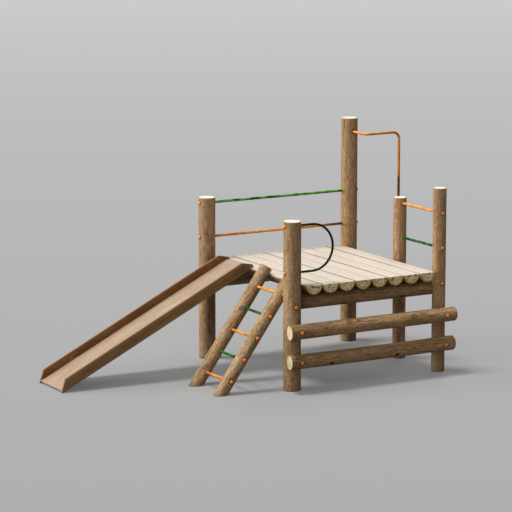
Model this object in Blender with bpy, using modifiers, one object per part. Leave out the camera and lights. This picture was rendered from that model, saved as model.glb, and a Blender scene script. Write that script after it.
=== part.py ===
import math

import bmesh
import bpy
from mathutils import Vector

# Slide platform for a playground: round posts carry a deck of half-round logs, reached by a
# leaning ladder and two climbing logs, and left by a slide and a fireman's pole.
# X runs along the climbing side, Y from there to the back, Z up. The sizes are in metres, and the
# places below are measured from the foot of the front left post.

# Gaps that touching pieces keep, and the wider ones of bores. Cutters run on past a face by OVERCUT.
FIT = 0.0003
BORE_FIT = 0.0005
OVERCUT = 0.050

# Posts. Four stand at the corners, and a fifth splits the right side.
POST_SPACING_X = 1.600
POST_SPACING_Y = 1.600
POST_RADIUS = 0.080
SLIM_POST_RADIUS = 0.0625
MIDDLE_POST_Y = 0.678
POST_ABOVE_RAIL = 0.053
POST_ABOVE_HANDLE = 0.044
POST_ABOVE_POLE = 0.132
GATE_POST_RISE = 0.776
LOG_CHAMFER = 0.004

# Deck of half-round logs, laid flat side up between the posts.
DECK_TOP = 0.973
HALF_ROUND_COUNT = 8
HALF_ROUND_GAP = 0.004
HALF_ROUND_EASE = 0.004
DECK_SIDE_GAP = 0.018
DECK_FRONT_OVERHANG = 0.090
DECK_BACK_OVERHANG = 0.005
SEAT_DEPTH = 0.004

# Beams under the deck, let half into the inner sides of the posts.
FRONT_BEAM_RADIUS = 0.083
BACK_BEAM_RADIUS = 0.096
BEAM_OVERRUN = 0.030
LEFT_BOLT_DROP = 0.030
RIGHT_BOLT_RISE = 0.035

# Climbing logs on the front, saddled over the posts.
CLIMB_LOG_RADIUS = 0.067
CLIMB_LOG_SADDLE = 0.027
CLIMB_LOG_LEFT = 0.100
LOWER_LOG_Z = 0.288
LOG_PITCH = 0.275
LOWER_LOG_RIGHT = 0.078
UPPER_LOG_RIGHT = 0.094
LOWER_BOLT_SHIFT = 0.030
UPPER_BOLT_SHIFT = 0.018

# Rails, grab handle and pole, all of round bar. Heights are above the deck.
RAIL_RADIUS = 0.011
RAIL_LOWER_RISE = 0.212
RAIL_UPPER_RISE = 0.541
HANDLE_RADIUS = 0.010
HANDLE_RISE = 0.118
HANDLE_HEIGHT = 0.432
HANDLE_STRAIGHT = 0.134
POLE_RADIUS = 0.011
POLE_RISE = 1.125
POLE_FORWARD = 0.300
POLE_REACH = 0.387
POLE_ELBOW_RADIUS = 0.035
POLE_BEND_RADIUS = 0.070

# Ladder beside the front left post. Lengths along it start at the ground or at the deck.
LADDER_LEAN = math.radians(54.2)
STRINGER_RADIUS = 0.060
STRINGER_SPACING = 0.457
STRINGER_ABOVE_DECK = 0.085
LADDER_SEAT = 0.010
LADDER_GAP = 0.001
RUNG_RADIUS = 0.0125
RUNG_COUNT = 5
FIRST_RUNG = 0.149
LAST_RUNG_DROP = 0.123

# Slide: two cheek boards with a bent bed held in their grooves.
SLIDE_ANGLE = math.radians(26.0)
SLIDE_NEAR_Y = 0.935
SLIDE_WIDTH = 0.475
CHEEK_THICKNESS = 0.022
CHEEK_HEIGHT = 0.104
CHEEK_ON_DECK = 0.033
CHEEK_END_CUT = 0.008
CHEEK_LEVEL_DROP = 0.022
CHEEK_APEX_BACK = 0.120
TOE_FLAT = 0.020
TOE_RAKE = 0.042
BED_LIFT = 0.015
BED_THICKNESS = 0.014
BED_LIP = 0.062
BED_TOE_BACK = 0.012
GROOVE_DEPTH = 0.008

# Domed caps with their bolts. Each sits on a flat spot that is cut into the wood.
CAP_RADIUS = 0.017
CAP_HEIGHT = 0.014
SPOT_CLEARANCE = 0.002
SPOT_MARGIN = 0.0005
BOLT_RADIUS = 0.005
BOLT_BITE = 0.075
CAP_BOLT_LENGTH = 0.030
SOCKET_CLEARANCE = 0.004

# Sides of the round pieces.
LOG_SIDES = 32
BAR_SIDES = 16
CAP_SIDES = 16
DOME_RINGS = 4
BEND_STEPS = 10

for old in list(bpy.data.objects):
    bpy.data.objects.remove(old)

parts = bpy.data.collections.new("slide_platform")
cutters = bpy.data.collections.new("slide_platform_cutters")
bpy.context.scene.collection.children.link(parts)
bpy.context.scene.collection.children.link(cutters)

spot_radius = CAP_RADIUS + SPOT_CLEARANCE
socket_depth = CAP_BOLT_LENGTH + SOCKET_CLEARANCE


def spot_depth(radius):
    # How deep a cap's flat spot is cut into a log of this radius.
    return radius - math.sqrt(radius**2 - spot_radius**2) + SPOT_MARGIN


def cap_stand(radius):
    # How far a cap stands out from a log of this radius.
    return CAP_HEIGHT + FIT - spot_depth(radius)


# Worked out from the sizes above.
right = POST_SPACING_X
back = POST_SPACING_Y
deck_left = POST_RADIUS + DECK_SIDE_GAP
deck_width = POST_SPACING_X - 2 * deck_left
half_round_width = (deck_width + HALF_ROUND_GAP) / HALF_ROUND_COUNT - HALF_ROUND_GAP
half_round_radius = half_round_width / 2
rail_lower_z = DECK_TOP + RAIL_LOWER_RISE
rail_upper_z = DECK_TOP + RAIL_UPPER_RISE
handle_low_z = DECK_TOP + HANDLE_RISE
handle_high_z = handle_low_z + HANDLE_HEIGHT
handle_reach = POST_RADIUS + HANDLE_STRAIGHT + HANDLE_HEIGHT / 2
pole_z = DECK_TOP + POLE_RISE
pole_x = right + POLE_REACH
pole_y = back - POLE_FORWARD
low_post_height = rail_upper_z + POST_ABOVE_RAIL
seat_z = DECK_TOP - half_round_radius + SEAT_DEPTH
beam_top = seat_z - FIT + SEAT_DEPTH
upper_log_z = LOWER_LOG_Z + LOG_PITCH
log_y = CLIMB_LOG_SADDLE - POST_RADIUS - CLIMB_LOG_RADIUS
lean_cos = math.cos(LADDER_LEAN)
lean_sin = math.sin(LADDER_LEAN)
ladder_y = POST_RADIUS + LADDER_GAP + cap_stand(STRINGER_RADIUS) + STRINGER_RADIUS
ladder_top_x = deck_left + LADDER_SEAT - STRINGER_RADIUS / lean_sin
ladder_foot_x = ladder_top_x - DECK_TOP * lean_cos / lean_sin
ladder_rise = DECK_TOP / lean_sin
rung_pitch = (ladder_rise - FIRST_RUNG - LAST_RUNG_DROP) / (RUNG_COUNT - 1)
slide_tan = math.tan(SLIDE_ANGLE)
slide_cos = math.cos(SLIDE_ANGLE)
bed_bend_x = deck_left - 4 * FIT
bed_bend_z = DECK_TOP + FIT
slide_foot_x = bed_bend_x - (bed_bend_z - BED_LIFT / slide_cos) / slide_tan
slide_toe_x = slide_foot_x - TOE_FLAT
slide_far_y = SLIDE_NEAR_Y + SLIDE_WIDTH

# The frame empty puts the middle of the footprint at the world's origin.
front_y = log_y - CLIMB_LOG_RADIUS - cap_stand(CLIMB_LOG_RADIUS)
back_y = back + POST_RADIUS + cap_stand(POST_RADIUS)
frame = bpy.data.objects.new("frame", None)
frame.location.x = -(slide_toe_x + pole_x + POLE_RADIUS) / 2
frame.location.y = -(front_y + back_y) / 2
parts.objects.link(frame)


def linear(channel):
    return channel / 12.92 if channel <= 0.04045 else ((channel + 0.055) / 1.055) ** 2.4


def material(name, colour, roughness, metallic):
    made = bpy.data.materials.new(name)
    made.use_nodes = True
    shader = made.node_tree.nodes["Principled BSDF"]
    channels = [int(colour[i : i + 2], 16) / 255 for i in (0, 2, 4)]
    shader.inputs["Base Color"].default_value = [linear(c) for c in channels] + [1.0]
    shader.inputs["Roughness"].default_value = roughness
    shader.inputs["Metallic"].default_value = metallic
    return made


# Looks: name, colour, roughness and metallic value. The coat on the steel isn't metallic.
LOG_WOOD = ("log_pine", "8C6C49", 0.75, 0.0)
DECK_WOOD = ("deck_pine", "E3D2B8", 0.70, 0.0)
CHEEK_WOOD = ("slide_board", "6B4C31", 0.60, 0.0)
BED_WOOD = ("slide_bed", "C4A284", 0.40, 0.0)
ORANGE_BAR = ("orange_steel", "D2691B", 0.30, 0.0)
GREEN_BAR = ("green_steel", "1F6B2B", 0.25, 0.0)
CAP_PLASTIC = ("orange_cap", "E07C28", 0.35, 0.0)


def finish(piece, look):
    # Each sub-part gets a material of its own, named after it.
    name, colour, roughness, metallic = look
    piece.data.materials.clear()
    piece.data.materials.append(material(piece.name + "_" + name, colour, roughness, metallic))
    piece.parent = frame
    parts.objects.link(piece)
    return piece


def cutter(shape):
    shape.parent = frame
    shape.hide_render = True
    shape.display_type = "WIRE"
    cutters.objects.link(shape)
    return shape


def cut(piece, shape):
    boolean = piece.modifiers.new("cut_" + shape.name, "BOOLEAN")
    boolean.operation = "DIFFERENCE"
    boolean.solver = "EXACT"
    boolean.object = shape


def aim(piece, start, direction):
    piece.location = start
    piece.rotation_euler = Vector(direction).to_track_quat("Z", "Y").to_euler()


def cylinder(name, start, end, radius, sides):
    start = Vector(start)
    end = Vector(end)
    mesh = bpy.data.meshes.new(name)
    bm = bmesh.new()
    length = (end - start).length
    bmesh.ops.create_cone(
        bm, cap_ends=True, segments=sides, radius1=radius, radius2=radius, depth=length
    )
    bm.to_mesh(mesh)
    bm.free()
    mesh.shade_smooth()
    mesh.set_sharp_from_angle(angle=math.radians(30))
    piece = bpy.data.objects.new(name, mesh)
    aim(piece, (start + end) / 2, end - start)
    return piece


def box(name, low, high):
    low = Vector(low)
    high = Vector(high)
    mesh = bpy.data.meshes.new(name)
    bm = bmesh.new()
    bmesh.ops.create_cube(bm, size=1.0)
    bmesh.ops.scale(bm, vec=high - low, verts=bm.verts)
    bmesh.ops.translate(bm, vec=(low + high) / 2, verts=bm.verts)
    bm.to_mesh(mesh)
    bm.free()
    return bpy.data.objects.new(name, mesh)


def turned(name, profile, sides):
    # The profile is (radius, height) pairs from top to bottom, with both ends on the axis.
    mesh = bpy.data.meshes.new(name)
    points = [(radius, 0.0, height) for radius, height in profile]
    mesh.from_pydata(points, [(i, i + 1) for i in range(len(points) - 1)], [])
    piece = bpy.data.objects.new(name, mesh)
    screw = piece.modifiers.new("turn", "SCREW")
    screw.steps = sides
    screw.render_steps = sides
    screw.use_merge_vertices = True
    screw.merge_threshold = 0.00005
    screw.use_smooth_shade = True
    return piece


def as_mesh(curve_object):
    # A curve's loose caps are welded, so that the piece can be cut.
    depsgraph = bpy.context.evaluated_depsgraph_get()
    mesh = bpy.data.meshes.new_from_object(curve_object.evaluated_get(depsgraph))
    bm = bmesh.new()
    bm.from_mesh(mesh)
    bmesh.ops.remove_doubles(bm, verts=bm.verts, dist=0.00001)
    bmesh.ops.recalc_face_normals(bm, faces=bm.faces)
    bm.to_mesh(mesh)
    bm.free()
    name = curve_object.name
    place = curve_object.matrix_world.copy()
    bpy.data.objects.remove(curve_object)
    piece = bpy.data.objects.new(name, mesh)
    piece.matrix_world = place
    return piece


def plate(name, outline, low_y, high_y):
    # A flat outline of (x, z) points, given thickness along Y.
    curve = bpy.data.curves.new(name, "CURVE")
    curve.dimensions = "2D"
    curve.fill_mode = "BOTH"
    curve.extrude = (high_y - low_y) / 2
    spline = curve.splines.new("POLY")
    spline.points.add(len(outline) - 1)
    for point, (x, z) in zip(spline.points, outline):
        point.co = (x, z, 0.0, 1.0)
    spline.use_cyclic_u = True
    holder = bpy.data.objects.new(name, curve)
    holder.location = (0.0, (low_y + high_y) / 2, 0.0)
    holder.rotation_euler = (math.pi / 2, 0.0, 0.0)
    bpy.context.scene.collection.objects.link(holder)
    bpy.context.view_layer.update()
    return as_mesh(holder)


def bent_bar(name, corners, bend_radii, radius):
    # Straight runs between the corners, with an arc of the given radius at each inner corner.
    corners = [Vector(corner) for corner in corners]
    route = [corners[0]]
    for before, corner, after, bend in zip(corners, corners[1:], corners[2:], bend_radii):
        back = (before - corner).normalized()
        ahead = (after - corner).normalized()
        centre = corner + (back + ahead) * bend
        for step in range(BEND_STEPS + 1):
            angle = math.pi / 2 * step / BEND_STEPS
            point = centre - ahead * bend * math.cos(angle) - back * bend * math.sin(angle)
            if (point - route[-1]).length > radius / 10:
                route.append(point)
    route.append(corners[-1])
    curve = bpy.data.curves.new(name, "CURVE")
    curve.dimensions = "3D"
    curve.bevel_depth = radius
    curve.bevel_resolution = 4
    curve.use_fill_caps = True
    spline = curve.splines.new("POLY")
    spline.points.add(len(route) - 1)
    for point, place in zip(spline.points, route):
        point.co = (*place, 1.0)
    spline.use_smooth = True
    holder = bpy.data.objects.new(name, curve)
    bpy.context.scene.collection.objects.link(holder)
    bpy.context.view_layer.update()
    return as_mesh(holder)


def dome(base):
    # The profile of a cap's dome, from its crown down to its rim at height base.
    ball = (CAP_RADIUS**2 + CAP_HEIGHT**2) / (2 * CAP_HEIGHT)
    widest = math.asin(CAP_RADIUS / ball) if CAP_HEIGHT < ball else math.pi / 2
    points = []
    for ring in range(DOME_RINGS + 1):
        angle = widest * ring / DOME_RINGS
        points.append((ball * math.sin(angle), base + CAP_HEIGHT - ball * (1 - math.cos(angle))))
    points[0] = (0.0, base + CAP_HEIGHT)
    return points


def cap(name, seat, outward, bolt_length=CAP_BOLT_LENGTH):
    # The seat is the middle of the spot face, and the cap stands a hair off it.
    profile = dome(0.0)
    profile += [(BOLT_RADIUS, 0.0), (BOLT_RADIUS, -bolt_length), (0.0, -bolt_length)]
    piece = turned(name, profile, CAP_SIDES)
    outward = Vector(outward)
    aim(piece, Vector(seat) + outward * FIT, outward)
    return finish(piece, CAP_PLASTIC)


def straight_bar(name, start, end, radius, look, head=False):
    # A round bar with a socket for a cap's bolt in each end, or a formed head on its far end.
    start = Vector(start)
    end = Vector(end)
    length = (end - start).length
    socket = BOLT_RADIUS + BORE_FIT
    if head:
        profile = dome(length + FIT)
        profile += [(radius, length + FIT)]
    else:
        profile = [(0.0, length - socket_depth), (socket, length - socket_depth)]
        profile += [(socket, length - FIT), (radius, length - FIT)]
    profile += [(radius, FIT), (socket, FIT), (socket, socket_depth), (0.0, socket_depth)]
    piece = turned(name, profile, BAR_SIDES)
    aim(piece, start, end - start)
    return finish(piece, look)


def bore(name, targets, start, end, radius, open_start=True, open_end=True):
    # A bore between two spot faces. An end that isn't open is blind.
    start = Vector(start)
    end = Vector(end)
    length = (end - start).length
    top = [(0.0, length), (radius, length)]
    if open_end:
        top = [(0.0, length + OVERCUT), (spot_radius, length + OVERCUT)]
        top += [(spot_radius, length), (radius, length)]
    bottom = [(radius, 0.0), (0.0, 0.0)]
    if open_start:
        bottom = [(radius, 0.0), (spot_radius, 0.0), (spot_radius, -OVERCUT), (0.0, -OVERCUT)]
    shape = cutter(turned(name, top + bottom, BAR_SIDES))
    aim(shape, start, end - start)
    for target in targets:
        cut(target, shape)


def log(name, start, end, radius):
    piece = cylinder(name, start, end, radius, LOG_SIDES)
    bevel = piece.modifiers.new("chamfer", "BEVEL")
    bevel.width = LOG_CHAMFER
    bevel.segments = 1
    bevel.limit_method = "ANGLE"
    bevel.angle_limit = math.radians(60)
    return finish(piece, LOG_WOOD)


# Posts
post_places = {
    "post_front_left": (0.0, 0.0, POST_RADIUS, handle_high_z + POST_ABOVE_HANDLE),
    "post_back_left": (0.0, back, POST_RADIUS, low_post_height),
    "post_back_right": (right, back, POST_RADIUS, pole_z + POST_ABOVE_POLE),
    "post_front_right": (right, 0.0, SLIM_POST_RADIUS, DECK_TOP + GATE_POST_RISE),
    "post_middle_right": (right, MIDDLE_POST_Y, SLIM_POST_RADIUS, low_post_height),
}
posts = {}
for name, (x, y, radius, height) in post_places.items():
    posts[name] = log(name, (x, y, 0.0), (x, y, height), radius)


def bolt(name, post_name, x, seat_y, outward, z, length, other):
    # A capped bolt in a blind bore, along Y from its seat.
    seat = Vector((x, seat_y, z))
    cap(name, seat, (0.0, outward, 0.0), length)
    tip = seat - Vector((0.0, outward * (length + FIT), 0.0))
    held = (posts[post_name], other)
    bore(name + "_bore", held, seat, tip, BOLT_RADIUS + BORE_FIT, open_end=False)


# Beams: each laps half into its two posts and is bolted there. The deck has a flat seat on each.
beam_rows = (
    ("front", 0.0, 1.0, FRONT_BEAM_RADIUS, -LEFT_BOLT_DROP, RIGHT_BOLT_RISE),
    ("back", back, -1.0, BACK_BEAM_RADIUS, 0.0, 0.0),
)
beams = {}
seats = []
for side, line_y, inward, beam_radius, left_rise, right_rise in beam_rows:
    beam_y = line_y + inward * POST_RADIUS
    beam_z = beam_top - beam_radius
    start = (-BEAM_OVERRUN, beam_y, beam_z)
    end = (right + BEAM_OVERRUN, beam_y, beam_z)
    beam = log("beam_" + side, start, end, beam_radius)
    beams[side] = beam
    low = (-BEAM_OVERRUN - OVERCUT, beam_y - beam_radius, seat_z - FIT)
    high = (right + BEAM_OVERRUN + OVERCUT, beam_y + beam_radius, seat_z + OVERCUT)
    cut(beam, cutter(box("beam_flat_" + side, low, high)))
    seat_half = math.sqrt(beam_radius**2 - (DECK_TOP - half_round_radius - beam_z) ** 2) + FIT
    low = (deck_left - OVERCUT, beam_y - seat_half, beam_z)
    high = (right - deck_left + OVERCUT, beam_y + seat_half, seat_z)
    seats.append(cutter(box("deck_seat_" + side, low, high)))
    for hand, post_x, rise in (("left", 0.0, left_rise), ("right", right, right_rise)):
        post_name = "post_" + side + "_" + hand
        post_radius = post_places[post_name][2]
        outer_y = beam_y - inward * beam_radius
        inner_y = line_y + inward * post_radius
        lap_y = (outer_y + inner_y) / 2
        ys = sorted((lap_y, inner_y + inward * OVERCUT))
        low = (-BEAM_OVERRUN - FIT, ys[0], beam_z - beam_radius - FIT)
        high = (right + BEAM_OVERRUN + FIT, ys[1], seat_z)
        cut(posts[post_name], cutter(box("housing_" + side + "_" + hand, low, high)))
        ys = sorted((lap_y + inward * FIT, outer_y - inward * OVERCUT))
        low = (post_x - post_radius - FIT, ys[0], beam_z - beam_radius - OVERCUT)
        high = (post_x + post_radius + FIT, ys[1], beam_z + beam_radius + OVERCUT)
        cut(beam, cutter(box("beam_lap_" + side + "_" + hand, low, high)))
        seat_y = line_y - inward * (post_radius - spot_depth(post_radius))
        length = abs(lap_y - seat_y) + BOLT_BITE
        name = "beam_bolt_" + side + "_" + hand
        bolt(name, post_name, post_x, seat_y, -inward, beam_z + rise, length, beam)


def half_round_outline(middle_x):
    radius = half_round_radius
    first = math.asin(HALF_ROUND_EASE / radius)
    steps = LOG_SIDES // 2
    outline = [(middle_x - radius + HALF_ROUND_EASE, DECK_TOP)]
    for step in range(steps + 1):
        angle = -math.pi + first + (math.pi - 2 * first) * step / steps
        outline.append((middle_x + radius * math.cos(angle), DECK_TOP + radius * math.sin(angle)))
    outline.append((middle_x + radius - HALF_ROUND_EASE, DECK_TOP))
    return outline


# Deck
for number in range(HALF_ROUND_COUNT):
    middle_x = deck_left + half_round_radius + number * (half_round_width + HALF_ROUND_GAP)
    outline = half_round_outline(middle_x)
    name = "half_round_" + str(number + 1)
    half_round = plate(name, outline, -DECK_FRONT_OVERHANG, back + DECK_BACK_OVERHANG)
    finish(half_round, DECK_WOOD)
    for seat in seats:
        cut(half_round, seat)

# Climbing logs, with a saddle for each front post and a bolt into it.
saddles = []
for hand, post_x, radius in (("left", 0.0, POST_RADIUS), ("right", right, SLIM_POST_RADIUS)):
    low = (post_x, 0.0, -OVERCUT)
    high = (post_x, 0.0, DECK_TOP)
    saddles.append(cutter(cylinder("saddle_" + hand, low, high, radius + FIT, LOG_SIDES)))
log_rows = (
    ("upper", upper_log_z, UPPER_LOG_RIGHT, UPPER_BOLT_SHIFT),
    ("lower", LOWER_LOG_Z, LOWER_LOG_RIGHT, LOWER_BOLT_SHIFT),
)
log_bolt_length = 2 * CLIMB_LOG_RADIUS - CLIMB_LOG_SADDLE + BOLT_BITE
log_seat_y = log_y - CLIMB_LOG_RADIUS + spot_depth(CLIMB_LOG_RADIUS)
for height, z, overrun, bolt_shift in log_rows:
    start = (-CLIMB_LOG_LEFT, log_y, z)
    end = (right + overrun, log_y, z)
    climbing_log = log("climbing_log_" + height, start, end, CLIMB_LOG_RADIUS)
    for saddle in saddles:
        cut(climbing_log, saddle)
    for hand, x in (("left", 0.0), ("right", right - bolt_shift)):
        name = "log_bolt_" + height + "_" + hand
        post_name = "post_front_" + hand
        bolt(name, post_name, x, log_seat_y, -1.0, z, log_bolt_length, climbing_log)

# Ladder: leaning stringers, cut flat at the ground and stepped over the deck's edge.
along = Vector((lean_cos, 0.0, lean_sin))
root = 2 * STRINGER_RADIUS / lean_sin
low = (ladder_foot_x - 2 * root, 0.0, -2 * root)
high = (ladder_foot_x + 2 * root, back, 0.0)
ground = cutter(box("ground_cut", low, high))
low = (deck_left - FIT, 0.0, DECK_TOP / 2)
high = (right, back, DECK_TOP + FIT)
deck_step = cutter(box("deck_step", low, high))
stringers = []
for side, y in (("right", ladder_y), ("left", ladder_y + STRINGER_SPACING)):
    foot = Vector((ladder_foot_x, y, 0.0))
    start = foot - along * root
    end = foot + along * (ladder_rise + STRINGER_ABOVE_DECK)
    stringer = log("ladder_stringer_" + side, start, end, STRINGER_RADIUS)
    cut(stringer, ground)
    cut(stringer, deck_step)
    stringers.append(stringer)

# The front beam's end is mitred to clear the ladder's right stringer.
mitre = box("beam_mitre", (-DECK_TOP, -ladder_y, 0.0), (0.0, ladder_y, 2 * DECK_TOP))
mitre.location = (ladder_foot_x + STRINGER_RADIUS / lean_sin + 4 * FIT, ladder_y, 0.0)
mitre.rotation_euler = (0.0, math.pi / 2 - LADDER_LEAN, 0.0)
cut(beams["front"], cutter(mitre))

stringer_seat = STRINGER_RADIUS - spot_depth(STRINGER_RADIUS)
for number in range(RUNG_COUNT):
    middle = Vector((ladder_foot_x, ladder_y, 0.0)) + along * (FIRST_RUNG + number * rung_pitch)
    start = middle - Vector((0.0, stringer_seat, 0.0))
    end = middle + Vector((0.0, STRINGER_SPACING + stringer_seat, 0.0))
    label = str(number + 1)
    look = ORANGE_BAR if number % 2 == 0 else GREEN_BAR
    straight_bar("ladder_rung_" + label, start, end, RUNG_RADIUS, look, head=True)
    cap("rung_cap_" + label, start, (0.0, -1.0, 0.0))
    bore("rung_bore_" + label, stringers, start, end, RUNG_RADIUS + BORE_FIT)

# Rails: a pair along the back, and a pair between the two slim posts.
post_seat = POST_RADIUS - spot_depth(POST_RADIUS)
slim_seat = SLIM_POST_RADIUS - spot_depth(SLIM_POST_RADIUS)
rail_looks = (
    ("upper", rail_upper_z, GREEN_BAR, ORANGE_BAR),
    ("lower", rail_lower_z, ORANGE_BAR, GREEN_BAR),
)
for height, z, back_look, side_look in rail_looks:
    start = (-post_seat, back, z)
    end = (right + post_seat, back, z)
    straight_bar("rail_back_" + height, start, end, RAIL_RADIUS, back_look)
    cap("rail_cap_back_left_" + height, start, (-1.0, 0.0, 0.0))
    cap("rail_cap_back_right_" + height, end, (1.0, 0.0, 0.0))
    held = (posts["post_back_left"], posts["post_back_right"])
    bore("rail_bore_back_" + height, held, start, end, RAIL_RADIUS + BORE_FIT)
    start = (right, -slim_seat, z)
    end = (right, MIDDLE_POST_Y + slim_seat, z)
    straight_bar("rail_side_" + height, start, end, RAIL_RADIUS, side_look)
    cap("rail_cap_side_front_" + height, start, (0.0, -1.0, 0.0))
    cap("rail_cap_side_back_" + height, end, (0.0, 1.0, 0.0))
    held = (posts["post_front_right"], posts["post_middle_right"])
    bore("rail_bore_side_" + height, held, start, end, RAIL_RADIUS + BORE_FIT)


def socket(name, target, mouth, inward):
    # A blind hole in a bent bar's end, for a cap's bolt.
    inward = Vector(inward)
    start = Vector(mouth) - inward * socket_depth
    end = Vector(mouth) + inward * socket_depth
    shape = cutter(cylinder(name, start, end, BOLT_RADIUS + BORE_FIT, BAR_SIDES))
    cut(target, shape)


# Grab handle on the front left post
bend = HANDLE_HEIGHT / 2
corners = [
    (-post_seat + FIT, 0.0, handle_high_z),
    (handle_reach, 0.0, handle_high_z),
    (handle_reach, 0.0, handle_low_z),
    (-post_seat + FIT, 0.0, handle_low_z),
]
handle = bent_bar("grab_handle", corners, (bend, bend), HANDLE_RADIUS)
finish(handle, GREEN_BAR)
for height, z in (("upper", handle_high_z), ("lower", handle_low_z)):
    seat = (-post_seat, 0.0, z)
    cap("handle_cap_" + height, seat, (-1.0, 0.0, 0.0))
    socket("handle_socket_" + height, handle, seat, (1.0, 0.0, 0.0))
    held = [posts["post_front_left"]]
    through = (handle_reach, 0.0, z)
    bore("handle_bore_" + height, held, seat, through, HANDLE_RADIUS + BORE_FIT, open_end=False)

# Fireman's pole from the tall post
seat = (right, back + post_seat, pole_z)
corners = [
    (right, back + post_seat - FIT, pole_z),
    (right, pole_y, pole_z),
    (pole_x, pole_y, pole_z),
    (pole_x, pole_y, 0.0),
]
pole = bent_bar("fire_pole", corners, (POLE_ELBOW_RADIUS, POLE_BEND_RADIUS), POLE_RADIUS)
finish(pole, ORANGE_BAR)
cap("pole_cap", seat, (0.0, 1.0, 0.0))
socket("pole_socket", pole, seat, (0.0, -1.0, 0.0))
through = (right, pole_y, pole_z)
held = [posts["post_back_right"]]
bore("pole_bore", held, seat, through, POLE_RADIUS + BORE_FIT, open_end=False)

# Slide: all its lines are drawn in the XZ plane, and the bed's lower face is the leading one.


def bed_line(x, offset):
    # Height of a line parallel to the bed's lower face, offset square to it.
    return bed_bend_z + (x - bed_bend_x) * slide_tan + offset / slide_cos


def bed_outline(grow, toe_x, lip_x):
    # The bent plate, with its faces moved outward by grow.
    top_z = bed_bend_z + BED_THICKNESS + grow
    bend_x = bed_bend_x + (top_z - bed_line(bed_bend_x, BED_THICKNESS + grow)) / slide_tan
    under_z = bed_bend_z - grow
    under_x = bed_bend_x + (under_z - bed_line(bed_bend_x, -grow)) / slide_tan
    return [
        (toe_x, bed_line(toe_x, -grow)),
        (under_x, under_z),
        (lip_x, under_z),
        (lip_x, top_z),
        (bend_x, top_z),
        (toe_x, bed_line(toe_x, BED_THICKNESS + grow)),
    ]


cheek_end_x = deck_left + CHEEK_ON_DECK
apex_x = cheek_end_x - CHEEK_APEX_BACK
apex_z = bed_line(apex_x, CHEEK_HEIGHT - BED_LIFT)
end_z = apex_z - CHEEK_LEVEL_DROP
step_x = deck_left - FIT
toe_top_x = slide_toe_x + TOE_RAKE
cheek_outline = [
    (slide_toe_x, 0.0),
    (slide_foot_x, 0.0),
    (step_x, bed_line(step_x, -BED_LIFT)),
    (step_x, bed_bend_z),
    (cheek_end_x, bed_bend_z),
    (cheek_end_x, end_z - CHEEK_END_CUT),
    (cheek_end_x - CHEEK_END_CUT, end_z),
    (apex_x, apex_z),
    (toe_top_x, bed_line(toe_top_x, CHEEK_HEIGHT - BED_LIFT)),
]
groove_low = SLIDE_NEAR_Y + CHEEK_THICKNESS - GROOVE_DEPTH
groove_high = slide_far_y - CHEEK_THICKNESS + GROOVE_DEPTH
groove = bed_outline(FIT, slide_toe_x - OVERCUT, cheek_end_x + OVERCUT)
groove_cutter = cutter(plate("bed_groove", groove, groove_low - FIT, groove_high + FIT))
for side, low_y in (("near", SLIDE_NEAR_Y), ("far", slide_far_y - CHEEK_THICKNESS)):
    cheek = plate("slide_cheek_" + side, cheek_outline, low_y, low_y + CHEEK_THICKNESS)
    finish(cheek, CHEEK_WOOD)
    cut(cheek, groove_cutter)

bed = bed_outline(0.0, slide_toe_x + BED_TOE_BACK, deck_left + BED_LIP)
finish(plate("slide_bed", bed, groove_low, groove_high), BED_WOOD)
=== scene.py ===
import bpy
import math
import numpy as np
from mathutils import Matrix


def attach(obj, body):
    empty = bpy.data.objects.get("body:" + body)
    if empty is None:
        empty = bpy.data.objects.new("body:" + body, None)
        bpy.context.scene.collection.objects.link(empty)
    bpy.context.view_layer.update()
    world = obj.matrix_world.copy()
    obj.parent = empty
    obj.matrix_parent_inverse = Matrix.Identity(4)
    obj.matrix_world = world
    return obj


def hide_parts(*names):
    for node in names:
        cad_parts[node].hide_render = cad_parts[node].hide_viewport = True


# Timber slide platform: round posts, a deck of half logs, a ladder, two climbing logs,
# a board slide, coated steel bars and a fireman's pole. All sizes are in metres.
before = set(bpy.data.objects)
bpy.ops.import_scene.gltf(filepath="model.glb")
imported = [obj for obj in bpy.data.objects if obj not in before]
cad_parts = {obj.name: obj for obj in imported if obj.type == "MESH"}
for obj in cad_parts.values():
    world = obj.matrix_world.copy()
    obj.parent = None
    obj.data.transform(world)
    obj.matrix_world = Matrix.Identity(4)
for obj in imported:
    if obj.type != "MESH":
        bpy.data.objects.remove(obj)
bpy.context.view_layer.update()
print("frame loaded,", len(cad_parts), "nodes")

# Everything below is measured from the foot of the front left post.
lean = math.radians(54.2)               # the ladder's slope
site = {
    "origin": (-0.05672842636704445, -0.7467307448387146, 0.0),
    "right": 1.600,                     # middle of the right hand posts
    "back": 1.600,                      # middle of the back posts
    "middlePostY": 0.678,               # middle of the slim post between them
    "deckTop": 0.973,
    "deckLeft": 0.098,
    "ladderAxis": (math.cos(lean), 0.0, math.sin(lean)),
    "ladderFootX": -0.6677266,
    "stringerY": (0.1517122, 0.6087122),
    "gap": 0.0003,                      # between pieces that touch
}
right, back, gap = site["right"], site["back"], site["gap"]
rng = np.random.default_rng(41)
fittings = []                           # where a cap or a bar meets the wood


def linearColour(hexColour):
    # sRGB hex to the linear values that Blender works in
    channel = np.array([int(hexColour[i:i + 2], 16) for i in (0, 2, 4)]) / 255
    linear = np.where(channel <= 0.04045, channel / 12.92, ((channel + 0.055) / 1.055) ** 2.4)
    return (*linear.tolist(), 1.0)


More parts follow.
